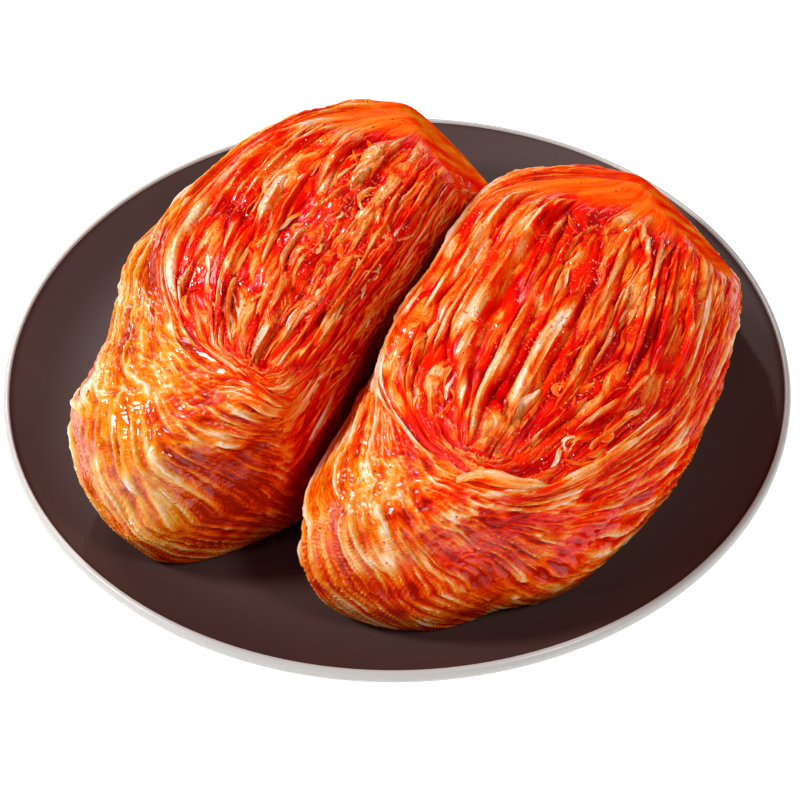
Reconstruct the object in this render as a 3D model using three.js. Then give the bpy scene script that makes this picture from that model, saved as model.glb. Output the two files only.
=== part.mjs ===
// Two half heads of napa cabbage kimchi on a round serving plate, cut faces up.
// Millimetres, +Z up. The origin is the centre of the plate's foot, on the table.

import * as THREE from 'three';
import { mergeVertices } from 'three/addons/utils/BufferGeometryUtils.js';

// The plate has a flat floor that rises gently to a thin rolled rim, and a foot ring below.
const PLATE = {
  rimRadius: 152.5,
  rimHeight: 20,
  rimWall: 5,
  rimLip: 1.2,
  wellRadius: 150,
  wellDepth: 11,
  flatRadius: 118,
  floorHeight: 8,
  underside: 3.5,
  footInner: 78,
  footOuter: 92,
  footBevel: 2,
  segments: 72,
  riseSteps: 6,
};

// Each half head has a plan of its own: a runs from the core to the leaf end and b across it.
// outline is the head's widest line and lip the edge of its cut face. Both start in the middle
// of the leaf end and go round past negative b. The leaves of the cut face lie along a line from
// the core to the first lip point, where their tips are gathered.
const HEAD_YAW = 243.1;
const HEADS = [
  {
    node: 'kimchi_left',
    color: 0xd4521f,
    centre: [-38.7, 3.3],
    height: 76,
    core: [-84, 12],
    outline: [
      [115, 2], [100, -34], [59, -47], [12, -60], [-38, -56], [-94, -41],
      [-122, -9], [-90, 47], [-50, 56], [10, 55], [62, 50], [90, 33],
    ],
    lip: [
      [78, 25], [75, 15], [64, -6], [30, -34], [-17, -41], [-64, -31],
      [-96, -4], [-76, 40], [-44, 47], [8, 47], [58, 45], [79, 38],
    ],
    leaves: 6,
    seed: 3,
    pressDepth: 7,
  },
  {
    node: 'kimchi_right',
    color: 0xdc5a28,
    centre: [43, -34],
    height: 68.5,
    core: [-82, 18],
    outline: [
      [107, 6], [106, -30], [56, -40], [10, -42], [-37, -43], [-100, -42],
      [-122, 4], [-95, 49], [-52, 65], [8, 69], [61, 57], [87, 33],
    ],
    lip: [
      [81, 22], [80, 12], [72, -6], [46, -30], [-6, -36], [-70, -33],
      [-100, 8], [-78, 44], [-38, 58], [6, 62], [48, 53], [75, 38],
    ],
    leaves: 5,
    seed: 8,
    pressDepth: 3,
  },
];

// The heads press against each other along one upright plane, parallel to both of them.
const CONTACT_POINT = [-0.4, -16.3];
const CONTACT_GAP = 0.5;
const REST_GAP = 0.3;

// How a head is rounded. Shares are of its height.
const WAIST = 0.42;
const CROWN = 2.9;
const CORE_DROP = 0.22;
const CORE_DROP_START = 40;
const CORE_DROP_END = 115;
const TUCK = 15;
const EYE_END = 0.93;

// Relief: leaf ribs on the cut face, its raised edge, and wrinkles in the leaves wrapped round it.
const RIB_HEIGHT = 4;
const LIP_HEIGHT = 1.5;
const LIP_WIDTH = 0.12;
const WRINKLE_HEIGHT = 0.9;
const WRINKLES = 3;
const CORE_FACE_START = -90; // the cut stem end is smooth up to here, and ribs stand full height
const CORE_FACE_END = -62; // from here on

// The faces of a head: steps around it, and rows from the middle of its cut face to its underside.
const AROUND = 66;
const DECK_ROWS = 24;
const WRAP_ROWS = 8;
const SIDE_ROWS = 6;
const ROWS = DECK_ROWS + WRAP_ROWS + SIDE_ROWS + 1;

function plainMaterial(color, roughness) {
  return new THREE.MeshStandardMaterial({ color, roughness, metalness: 0 });
}

// Plate

function plateProfile() {
  const p = PLATE;
  const outline = new THREE.Path();
  outline.moveTo(0, p.underside);
  outline.lineTo(p.footInner - p.footBevel, p.underside);
  outline.lineTo(p.footInner, 0);
  outline.lineTo(p.footOuter, 0);
  outline.lineTo(p.footOuter + p.footBevel, p.underside);
  outline.lineTo(p.flatRadius, p.underside);
  outline.lineTo(p.wellRadius - p.footBevel, p.rimHeight - p.rimWall - 1);
  outline.lineTo(p.rimRadius - p.rimLip, p.rimHeight - p.rimWall);
  outline.lineTo(p.rimRadius, p.rimHeight - p.rimWall / 2);
  outline.lineTo(p.rimRadius - p.rimLip / 2, p.rimHeight - p.rimLip / 2);
  outline.lineTo(p.rimRadius - p.rimLip, p.rimHeight);
  outline.lineTo(p.wellRadius, p.rimHeight);
  const points = outline.getPoints(1);
  for (let step = 0; step <= p.riseSteps; step += 1) {
    const share = 1 - step / p.riseSteps;
    const radius = p.flatRadius + (p.wellRadius - p.flatRadius) * share;
    points.push(new THREE.Vector2(radius, p.floorHeight + p.wellDepth * share * share));
  }
  points.push(new THREE.Vector2(0, p.floorHeight));
  return points;
}

function makePlate() {
  const geometry = new THREE.LatheGeometry(plateProfile(), PLATE.segments);
  const mesh = new THREE.Mesh(geometry, plainMaterial(0x33211f, 0.45));
  mesh.name = 'plate';
  mesh.rotation.x = Math.PI / 2;
  return mesh;
}

// Half heads

function closedCurve(points) {
  const corners = points.map(([a, b]) => new THREE.Vector3(a, b, 0));
  return new THREE.CatmullRomCurve3(corners, true, 'catmullrom', 0.5);
}

// The nearest point of the eye, the line that the leaves of the cut face lie along.
function eyePoint(head, point) {
  const core = new THREE.Vector3(...head.core, 0);
  const tips = new THREE.Vector3(...head.lip[0], 0).lerp(core, 1 - EYE_END);
  return new THREE.Line3(core, tips).closestPointToPoint(point, true, new THREE.Vector3());
}

// The share of the full rib height that each leaf has, from 0.5 to 1, so that no two are alike.
function leafSize(head, leaf, side) {
  return 0.75 + 0.25 * Math.sin(7.3 * leaf + 4.1 * side + 2.7 * head.seed);
}

// How far the surface stands out where ribs, the lip and wrinkles pass. u is the share of the way
// round, s is 0 to 1 on the cut face, to 2 on the wrap and to 3 on the side, and a is the place
// along the head.
function relief(head, u, s, a) {
  const side = u < 0.5 ? 0 : 1;
  const along = 2 * Math.PI * u;
  const leafy = THREE.MathUtils.smoothstep(a, CORE_FACE_START, CORE_FACE_END);
  const lip = leafy * LIP_HEIGHT * Math.exp(-(((s - 1) / LIP_WIDTH) ** 2));
  if (s <= 1) {
    const leaf = Math.min(Math.floor(s * head.leaves), head.leaves - 1);
    const crest = Math.sin(Math.PI * (s * head.leaves - leaf));
    const taper = leafy * Math.sqrt(Math.abs(Math.sin(along)));
    return lip * s + RIB_HEIGHT * leafSize(head, leaf, side) * crest * taper;
  }
  const bend = Math.sin(3 * along + head.seed) + 0.6 * Math.sin(5 * along - head.seed);
  const fade = Math.sin(Math.PI * Math.min(1, (s - 1) / 2));
  return lip + WRINKLE_HEIGHT * fade * Math.sin(2 * Math.PI * WRINKLES * (s - 1) + bend);
}

// The bare surface of a head in its own plan, and the point inside that relief stands away from.
function bodyPoint(head, u, s) {
  const outer = head.outlineCurve.getPoint(u);
  const lip = head.lipCurve.getPoint(u);
  const eye = eyePoint(head, lip);
  const middle = eyePoint(head, new THREE.Vector3());
  const toLip = eye.distanceTo(lip) / (eye.distanceTo(lip) + lip.distanceTo(outer));

  const deck = Math.min(s, 1);
  const wrap = Math.sin(THREE.MathUtils.clamp(s - 1, 0, 1) * Math.PI / 2);
  const side = THREE.MathUtils.clamp(s - 2, 0, 1) * Math.PI / 2;
  const under = Math.max(s - 3, 0);

  const plan = middle.clone().lerp(eye, Math.min(1, deck * DECK_ROWS));
  plan.add(lip.clone().sub(eye).multiplyScalar(deck));
  plan.add(outer.clone().sub(lip).multiplyScalar(wrap));
  plan.add(eye.clone().sub(outer).setLength(TUCK * (1 - Math.cos(side))));
  plan.lerp(middle, under);

  const drop = CORE_DROP * THREE.MathUtils.smoothstep(-plan.x, CORE_DROP_START, CORE_DROP_END);
  const top = head.height * (1 - drop);
  const waist = WAIST * head.height * (1 - drop / 2);
  const out = toLip * deck + (1 - toLip) * wrap;
  const rise = (1 - Math.min(1, out) ** CROWN) ** (1 / CROWN);
  const z = s <= 2 ? waist + (top - waist) * rise : waist * (1 - Math.sin(side));
  const inside = new THREE.Vector3(eye.x, eye.y, waist);
  return { surface: new THREE.Vector3(plan.x, plan.y, z), inside };
}

// A point closer to the other head than the press depth is squeezed back, and never reaches it.
function press(head, point) {
  const across = (HEAD_YAW + 90) * Math.PI / 180;
  const offset = [CONTACT_POINT[0] - head.centre[0], CONTACT_POINT[1] - head.centre[1]];
  const plane = offset[0] * Math.cos(across) + offset[1] * Math.sin(across);
  const facing = Math.sign(plane);
  const distance = facing * (plane - point.y);
  if (distance < head.pressDepth) {
    const room = head.pressDepth - CONTACT_GAP / 2;
    const kept = CONTACT_GAP / 2 + room * Math.exp((distance - head.pressDepth) / room);
    point.y = plane - facing * kept;
  }
}

// Rows are spread evenly over each stretch, from the eye over the wrap and side to the underside.
function rowStretch(row) {
  if (row <= DECK_ROWS) return row / DECK_ROWS;
  if (row <= DECK_ROWS + WRAP_ROWS) return 1 + (row - DECK_ROWS) / WRAP_ROWS;
  if (row < ROWS) return 2 + (row - DECK_ROWS - WRAP_ROWS) / SIDE_ROWS;
  return 4;
}

function makeHalfHead(head) {
  head.outlineCurve = closedCurve(head.outline);
  head.lipCurve = closedCurve(head.lip);
  const ball = new THREE.SphereGeometry(1, AROUND, ROWS);
  const { position, uv } = ball.attributes;
  for (let i = 0; i < position.count; i += 1) {
    const row = Math.round((1 - uv.getY(i)) * ROWS);
    const atPole = row === 0 || row === ROWS;
    const u = atPole ? 0 : 1 - uv.getX(i);
    const s = rowStretch(row);
    const { surface, inside } = bodyPoint(head, u, s);
    if (s < 3) {
      const outward = surface.clone().sub(inside).normalize();
      surface.addScaledVector(outward, relief(head, u, s, surface.x));
    }
    press(head, surface);
    position.setXYZ(i, surface.x, surface.y, surface.z);
  }
  ball.deleteAttribute('normal');
  ball.deleteAttribute('uv');
  const mesh = new THREE.Mesh(mergeVertices(ball), plainMaterial(head.color, 0.35));
  mesh.name = head.node;
  mesh.position.set(...head.centre, PLATE.floorHeight + REST_GAP);
  mesh.rotation.z = HEAD_YAW * Math.PI / 180;
  return mesh;
}

const kimchi = new THREE.Group();
kimchi.add(makePlate());
for (const head of HEADS) {
  kimchi.add(makeHalfHead(head));
}

export default kimchi;
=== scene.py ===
import math

import bmesh
import bpy
import numpy as np
from mathutils import Matrix, Vector


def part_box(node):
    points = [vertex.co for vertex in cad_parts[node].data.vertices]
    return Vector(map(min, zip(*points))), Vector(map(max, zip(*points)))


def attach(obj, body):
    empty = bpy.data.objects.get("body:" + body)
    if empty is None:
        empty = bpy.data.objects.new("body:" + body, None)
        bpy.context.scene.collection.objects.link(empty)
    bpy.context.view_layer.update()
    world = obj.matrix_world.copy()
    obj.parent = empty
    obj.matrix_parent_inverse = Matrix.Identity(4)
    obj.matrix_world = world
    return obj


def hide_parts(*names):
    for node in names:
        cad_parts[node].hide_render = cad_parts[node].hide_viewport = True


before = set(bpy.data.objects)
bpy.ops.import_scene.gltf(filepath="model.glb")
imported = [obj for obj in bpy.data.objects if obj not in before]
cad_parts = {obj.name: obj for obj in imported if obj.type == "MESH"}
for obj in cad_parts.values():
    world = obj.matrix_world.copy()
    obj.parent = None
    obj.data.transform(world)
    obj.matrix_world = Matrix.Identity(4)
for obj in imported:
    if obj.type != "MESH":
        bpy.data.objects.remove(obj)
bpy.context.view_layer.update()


# Serving plate
# A pressed stoneware plate, 12 inches across, with a dark brown satin glaze in its well.
# Its rim and outside have a white glaze, which meets the brown in a crisp ring.

MM = 0.001
plate_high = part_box("plate")[1]
RIM_RADIUS = plate_high[0] / MM
RIM_HEIGHT = plate_high[2] / MM
WELL_RADIUS = 150.0
WELL_DEPTH = 11.0
FLAT_RADIUS = 118.0
FLOOR_HEIGHT = 8.0
UNDERSIDE = 3.5
FOOT_INNER = 78.0
FOOT_OUTER = 92.0
ROLL_WIDTH = 1.4
ROLL_HEIGHT = 2.6
PLATE_STEPS = 180


def rounded_rim():
    """The rim's section, from under its roll over the top to the edge of the well."""
    roll = [(RIM_RADIUS - ROLL_WIDTH + ROLL_WIDTH * math.cos(turn),
             RIM_HEIGHT - ROLL_HEIGHT + ROLL_HEIGHT * math.sin(turn))
            for turn in np.linspace(-0.9, math.pi / 2, 9)]
    return roll + [(WELL_RADIUS + 0.35, RIM_HEIGHT - 0.05), (WELL_RADIUS, RIM_HEIGHT - 0.35)]


def plate_section():
    under = [(0, UNDERSIDE), (FOOT_INNER - 2, UNDERSIDE), (FOOT_INNER - 0.6, 1.0), (FOOT_INNER + 0.8, 0.0),
             (FOOT_OUTER - 0.8, 0.0), (FOOT_OUTER + 0.6, 1.0), (FOOT_OUTER + 2, UNDERSIDE + 0.2)]
    outside = [(FLAT_RADIUS + (RIM_RADIUS - 3 - FLAT_RADIUS) * share, UNDERSIDE + 0.2 + 11.2 * share ** 1.3)
               for share in np.linspace(0, 1, 9)]
    well = [(FLAT_RADIUS + (WELL_RADIUS - 0.1 - FLAT_RADIUS) * share, FLOOR_HEIGHT + WELL_DEPTH * share ** 2)
            for share in np.linspace(1, 0, 16)]
    return under + outside + rounded_rim() + well + [(60.0, FLOOR_HEIGHT), (0, FLOOR_HEIGHT)]


shape = bmesh.new()
corners = [shape.verts.new((radius * MM, 0, height * MM)) for radius, height in plate_section()]
sides = [shape.edges.new(pair) for pair in zip(corners, corners[1:])]
bmesh.ops.spin(shape, geom=corners + sides, axis=(0, 0, 1), cent=(0, 0, 0), steps=PLATE_STEPS,
               angle=2 * math.pi, use_merge=True, use_duplicate=False)
bmesh.ops.remove_doubles(shape, verts=shape.verts, dist=1e-6)
bmesh.ops.recalc_face_normals(shape, faces=shape.faces)
for face in shape.faces:
    middle = face.calc_center_median()
    in_well = math.hypot(middle.x, middle.y) < WELL_RADIUS * MM and face.normal.z > 0.2
    face.material_index = 0 if in_well else 1
plate_mesh = bpy.data.meshes.new("serving_plate")
shape.to_mesh(plate_mesh)
shape.free()
plate_mesh.shade_smooth()


def placed(name, data):
    """A new object in the scene, at the origin."""
    thing = bpy.data.objects.new(name, data)
    bpy.context.collection.objects.link(thing)
    return thing


def new_material(name):
    """An empty node material with its Principled BSDF, ready for links."""
    material = bpy.data.materials.new(name)
    material.use_nodes = True
    return material, material.node_tree, material.node_tree.nodes["Principled BSDF"]


def feed(tree, node, feeds):
    """Feeds a node's inputs, each from a socket or with a value that is the same all over."""
    for key, source in feeds.items():
        if isinstance(source, bpy.types.NodeSocket):
            tree.links.new(source, node.inputs[key])
        else:
            node.inputs[key].default_value = source


def signal(tree, kind, output, feeds, **settings):
    """What a new shader node with these settings puts out, when its inputs are fed so."""
    node = tree.nodes.new(kind)
    for key, value in settings.items():
        setattr(node, key, value)
    feed(tree, node, feeds)
    return node.outputs[output]


def noise(tree, vector, scale, detail, roughness=0.5):
    return signal(tree, "ShaderNodeTexNoise", "Fac",
                  {"Vector": vector, "Scale": scale, "Detail": detail, "Roughness": roughness})


def remapped(tree, value, ends, **settings):
    """A value spread between new ends, which go by their names on the Map Range node."""
    return signal(tree, "ShaderNodeMapRange", "Result", {"Value": value, **ends}, **settings)


def blended(tree, share, first, second, kind="RGBA"):
    return signal(tree, "ShaderNodeMix", "Result", {"Factor": share, "A": first, "B": second}, data_type=kind)


def shade(red, green, blue):
    """A display colour from 0 to 255 as the linear colour that sockets take."""
    srgb = np.array([red, green, blue]) / 255.0
    linear = np.where(srgb < 0.04045, srgb / 12.92, ((srgb + 0.055) / 1.055) ** 2.4)
    return (*linear, 1.0)


def glaze(name, low, high, roughness, grain_scale):
    """A fired glaze: two close tones in soft clouds, and a faint unevenness that breaks reflections."""
    material, tree, shader = new_material(name)
    place = signal(tree, "ShaderNodeTexCoord", "Object", {})
    grain = noise(tree, place, grain_scale, 2.0)
    tones = blended(tree, noise(tree, place, 14.0, 4.0), low, high)
    rough = remapped(tree, grain, {"To Min": roughness - 0.06, "To Max": roughness + 0.06})
    bump = signal(tree, "ShaderNodeBump", "Normal", {"Height": grain, "Strength": 0.12, "Distance": 0.0004})
    feed(tree, shader, {"Base Color": tones, "Roughness": rough, "Normal": bump, "Specular IOR Level": 0.45})
    return material


plate_mesh.materials.append(glaze("dark_brown_glaze", shade(60, 37, 34), shade(68, 44, 41), 0.62, 700.0))
plate_mesh.materials.append(glaze("white_glaze", shade(180, 177, 173), shade(190, 187, 184), 0.3, 500.0))
plate = placed("serving_plate", plate_mesh)
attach(plate, "root")
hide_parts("plate")


# Left half head, cut face
# Half a napa cabbage, split from core to tip after fermenting and laid cut side up. Leaf ribs lie
# side by side from the core to the gathered tips, coated with red chili paste that pools between.
# The troughs beside the ribs are painted darker as painted shade.

HEAD_YAW = math.radians(243.1)
CONTACT_POINT = (-0.4, -16.3)
CONTACT_GAP = 0.5
WAIST = 0.42
CROWN = 2.9
CORE_DROP = 0.22
TUCK = 15.0
EYE_END = 0.93
DECK_LENGTH = 165.0
DECK_HALF_WIDTH = 42.0
BEND_LENGTH = 300.0

left_head = {
    "node": "kimchi_left",
    "slot": "cabbage_left",
    "centre": (-38.7, 3.3),
    "height": 76.0,
    "core": (-84.0, 12.0),
    "outline": [(115, 2), (100, -34), (59, -47), (12, -60), (-38, -56), (-94, -41),
                (-122, -9), (-90, 47), (-50, 56), (10, 55), (62, 50), (90, 33)],
    "lip": [(78, 25), (75, 15), (64, -6), (30, -34), (-17, -41), (-64, -31),
            (-96, -4), (-76, 40), (-44, 47), (8, 47), (58, 45), (79, 38)],
    "press_depth": 7.0,
    "trim": ((-0.595, 0.446, 0.669), 99.5),
    "seed": 3,
}


def closed_curve(points, share):
    """Points on the smooth closed curve through points, at shares of the way round."""
    points = np.array(points, float)
    step = (share % 1.0) * len(points)
    index = np.floor(step).astype(int)
    f = (step - index)[..., None]
    p0, p1, p2, p3 = (points[(index + k) % len(points)] for k in (-1, 0, 1, 2))
    return 0.5 * (2 * p1 + (p2 - p0) * f + (2 * p0 - 5 * p1 + 4 * p2 - p3) * f ** 2
                  + (3 * p1 - p0 - 3 * p2 + p3) * f ** 3)


def ease(low, high, value):
    """0 below low, 1 above high and a smooth way between them."""
    share = np.clip((value - low) / (high - low), 0, 1)
    return share * share * (3 - 2 * share)


def lerp(first, second, share):
    """The first where share is 0, the second where it is 1, and straight between them."""
    return first * (1 - share) + second * share


def head_surface(head, u, s, merge=12.0):
    """The bare head in its own plan, and where its points lie across and along the cut face.

    u is the share of the way round. s is 0 to 1 over the cut face, to 2 over the wrap, to 3 down
    the side and to 4 under the head. The rows start at one point, and reach the whole length of
    the eye where s is 1 / merge.
    """
    outer = closed_curve(head["outline"], u)
    lip = closed_curve(head["lip"], u)
    core = np.array(head["core"])
    axis = np.array(head["lip"][0], float) - core
    along = np.clip((lip - core) @ axis / (axis @ axis), 0, EYE_END)
    middle = np.clip(-core @ axis / (axis @ axis), 0, EYE_END)
    along_here = middle + (along - middle) * np.minimum(1, s * merge)
    eye = core + along[..., None] * axis
    to_lip = np.linalg.norm(eye - lip, axis=-1)
    to_lip = to_lip / (to_lip + np.linalg.norm(lip - outer, axis=-1))
    deck = np.minimum(s, 1)[..., None]
    wrap = np.sin(np.clip(s - 1, 0, 1) * math.pi / 2)[..., None]
    side = np.clip(s - 2, 0, 1) * math.pi / 2
    inward = (eye - outer) / np.linalg.norm(eye - outer, axis=-1, keepdims=True)
    plan = core + along_here[..., None] * axis + (lip - eye) * deck + (outer - lip) * wrap
    plan = plan + inward * (TUCK * (1 - np.cos(side)))[..., None]
    under = np.clip(s - 3, 0, 1)[..., None]
    plan = lerp(plan, core + middle * axis, under)
    drop = CORE_DROP * ease(40, 115, -plan[..., 0])
    top = head["height"] * (1 - drop)
    waist = WAIST * head["height"] * (1 - drop / 2)
    out = np.clip(to_lip * deck[..., 0] + (1 - to_lip) * wrap[..., 0], 0, 1)
    height = waist + (top - waist) * (1 - out ** CROWN) ** (1 / CROWN)
    height = np.where(s <= 2, height, waist * (1 - np.sin(side)))
    length = np.linalg.norm(axis)
    reach = (lip - eye) / np.linalg.norm(lip - eye, axis=-1, keepdims=True)
    across = s * (reach @ np.array([-axis[1], axis[0]])) / length
    forward = along_here + s * ((lip - eye) @ axis) / length ** 2
    return np.concatenate([plan, height[..., None]], axis=-1), across, forward


def pressed(head, points):
    """Squeezes back what would reach the other head, which lies against this one."""
    across = HEAD_YAW + math.pi / 2
    offset = (CONTACT_POINT[0] - head["centre"][0], CONTACT_POINT[1] - head["centre"][1])
    plane = offset[0] * math.cos(across) + offset[1] * math.sin(across)
    facing = math.copysign(1, plane)
    distance = facing * (plane - points[..., 1])
    room = head["press_depth"] - CONTACT_GAP / 2
    kept = CONTACT_GAP / 2 + room * np.exp(np.minimum(0, distance - head["press_depth"]) / room)
    result = points.copy()
    result[..., 1] = np.where(distance < head["press_depth"], plane - facing * kept, points[..., 1])
    return result


TRIM_ROUND = 1.2


def trim_depth(head, points):
    """How far points lie beyond the knife cut that took the stub of the stalk off."""
    facing, distance = head["trim"]
    return points @ np.array(facing) - distance


def trimmed(head, points):
    """Pulls back on to the knife cut what lies beyond it, and rounds its edge a little."""
    excess = TRIM_ROUND * np.logaddexp(0, trim_depth(head, points) / TRIM_ROUND)
    return points - excess[..., None] * np.array(head["trim"][0])


def stalk_tone(head, points):
    """The tone of the bare stalk: cut fibre bundles, stained in patches by the paste."""
    x, y, z = points[..., 0], points[..., 1], points[..., 2]
    patch = drift(y / 9 + x / 14, z / 7 - x / 12, head["seed"] + 23)
    bundle = drift(y / 2.4, z / 2.0 - x / 2.6, head["seed"] + 24)
    return head["core_tone"] - 0.10 + 0.16 * patch + 0.09 * bundle


def on_plate(head, points):
    """From the head's own plan in millimetres to the shared frame in metres."""
    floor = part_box(head["node"])[0][2] / MM
    turn = np.array([[math.cos(HEAD_YAW), math.sin(HEAD_YAW)], [-math.sin(HEAD_YAW), math.cos(HEAD_YAW)]])
    result = points.copy()
    result[..., :2] = points[..., :2] @ turn + np.array(head["centre"])
    result[..., 2] += floor
    return result * MM


def outward(points):
    """Unit normals of a grid whose columns go round, the last on the first, and whose rows go out."""
    ring = points[:, :-1]
    around = np.roll(ring, -1, axis=1) - np.roll(ring, 1, axis=1)
    down = np.gradient(ring, axis=0)
    normal = np.cross(around, down)
    length = np.linalg.norm(normal, axis=-1, keepdims=True)
    normal = np.where(length > 1e-9, normal / np.maximum(length, 1e-9), (0.0, 0.0, 1.0))
    normal[0] = (0.0, 0.0, 1.0)
    return np.concatenate([normal, normal[:, :1]], axis=1)


def hashed(i, j, seed):
    """A fixed random number from 0 to 1 for each pair of whole numbers."""
    with np.errstate(over="ignore"):
        n = i.astype(np.uint32) * np.uint32(374761393) + j.astype(np.uint32) * np.uint32(668265263)
        n = n + np.uint32((seed * 2654435761) % 4294967296)
        n = (n ^ (n >> np.uint32(13))) * np.uint32(1274126177)
        n = (n ^ (n >> np.uint32(15))) * np.uint32(2246822519)
        n = n ^ (n >> np.uint32(16))
    return n / 4294967296.0


def drift(x, y, seed):
    """A smooth random field from -1 to 1 that changes over about one unit."""
    i, j = np.floor(x).astype(int), np.floor(y).astype(int)
    fx, fy = x - i, y - j
    fx, fy = fx * fx * (3 - 2 * fx), fy * fy * (3 - 2 * fy)
    low = lerp(hashed(i, j, seed), hashed(i + 1, j, seed), fx)
    high = lerp(hashed(i, j + 1, seed), hashed(i + 1, j + 1, seed), fx)
    return 2 * lerp(low, high, fy) - 1


def strips(x, y, seed):
    """Irregular cells one unit wide and long: distance to the border, the cell's number, and lean.

    Lean is how far to one side of the cell's middle a point lies.
    """
    i, j = np.floor(x).astype(int), np.floor(y).astype(int)
    nearest = np.full(x.shape, 9.0)
    second = np.full(x.shape, 9.0)
    pick = np.zeros(x.shape)
    lean = np.zeros(x.shape)
    for di in (-1, 0, 1):
        for dj in (-1, 0, 1):
            dx = x - (i + di + 0.15 + 0.7 * hashed(i + di, j + dj, seed))
            dy = y - (j + dj + hashed(i + di, j + dj, seed + 91))
            distance = np.hypot(dx, dy)
            closer = distance < nearest
            second = np.where(closer, nearest, np.minimum(second, distance))
            pick = np.where(closer, hashed(i + di, j + dj, seed + 57), pick)
            lean = np.where(closer, dx, lean)
            nearest = np.where(closer, distance, nearest)
    return second - nearest, pick, lean


def rib_path(one, along):
    """Where a rib lies across the cut face at each place along it, and its place between its ends."""
    start, middle, end = one["path"]
    share = (along - start[0]) / (end[0] - start[0])
    bend = (middle[0] - start[0]) / (end[0] - start[0])
    line = start[1] + (end[1] - start[1]) * share
    sag = middle[1] - start[1] - (end[1] - start[1]) * bend
    return line + sag * share * (1 - share) / (bend * (1 - bend)), share


def leaf_relief(x, y, seed, mess):
    """Relief in millimetres, tone and place across, for leaf edges side by side that run along y.

    Where mess is 1 the leaves are torn and crumpled, where it is 0 they lie in order.
    """
    q = x + (2.8 + 3.0 * mess) * drift(x / 12, y / 36, seed)
    q = q + (1.3 + 2.4 * mess) * drift(x / 4, y / 10, seed + 1)
    border, pick, lean = strips(q / 6.5, y / 44, seed + 2)
    thin_border, thin_pick, thin_lean = strips(q / 3.2, y / 22, seed + 3)
    fine_border, fine_pick, _ = strips(q / 1.1, y / 9, seed + 4)
    body = 1 - np.exp(-border * 5)
    thin = 1 - np.exp(-thin_border * 5)
    fine = 1 - np.exp(-fine_border * 5)
    crumple = 1 - np.abs(drift(x / 2.1, y / 3.4, seed + 9) + 0.5 * drift(x / 1.0, y / 1.6, seed + 10))
    lift = 1.9 * body * (0.3 + 0.7 * pick) + 1.3 * lean * (pick - 0.5)
    lift = lift + 0.9 * thin * thin_pick + 1.3 * thin_lean * (thin_pick - 0.5) + 0.35 * fine * fine_pick
    lift = lift + (0.25 + 0.9 * mess) * crumple
    tone = 0.32 + 0.42 * (pick - 0.5) + 0.38 * (thin_pick - 0.5) + 0.20 * (fine_pick - 0.5)
    # The seams between leaf strips are painted darker and their middles lighter: painted shade in the
    # creases.
    tone = tone + 0.12 * body + 0.10 * thin - 0.16 * np.exp(-border * 9) - 0.10 * np.exp(-thin_border * 8)
    # The tops of the crumples are painted lighter: a painted highlight on them.
    tone = tone + 0.14 * drift(x / 9, y / 26, seed + 5) + 0.16 * mess * ease(0.75, 1.0, crumple)
    return lift, tone, q


def spot(along, across, place, size):
    """1 at a place on the cut face, and falling smoothly to 0 over its size along and across."""
    return np.exp(-((along - place[0]) * DECK_LENGTH / size[0]) ** 2
                  - ((across - place[1]) * DECK_HALF_WIDTH / size[1]) ** 2)


def mess_at(head, along, across):
    """How torn and crumpled the leaves lie there, from 0 to 1."""
    return np.clip(sum(strength * spot(along, across, place, size)
                       for place, size, strength in head["mess"]), 0, 1)


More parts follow.
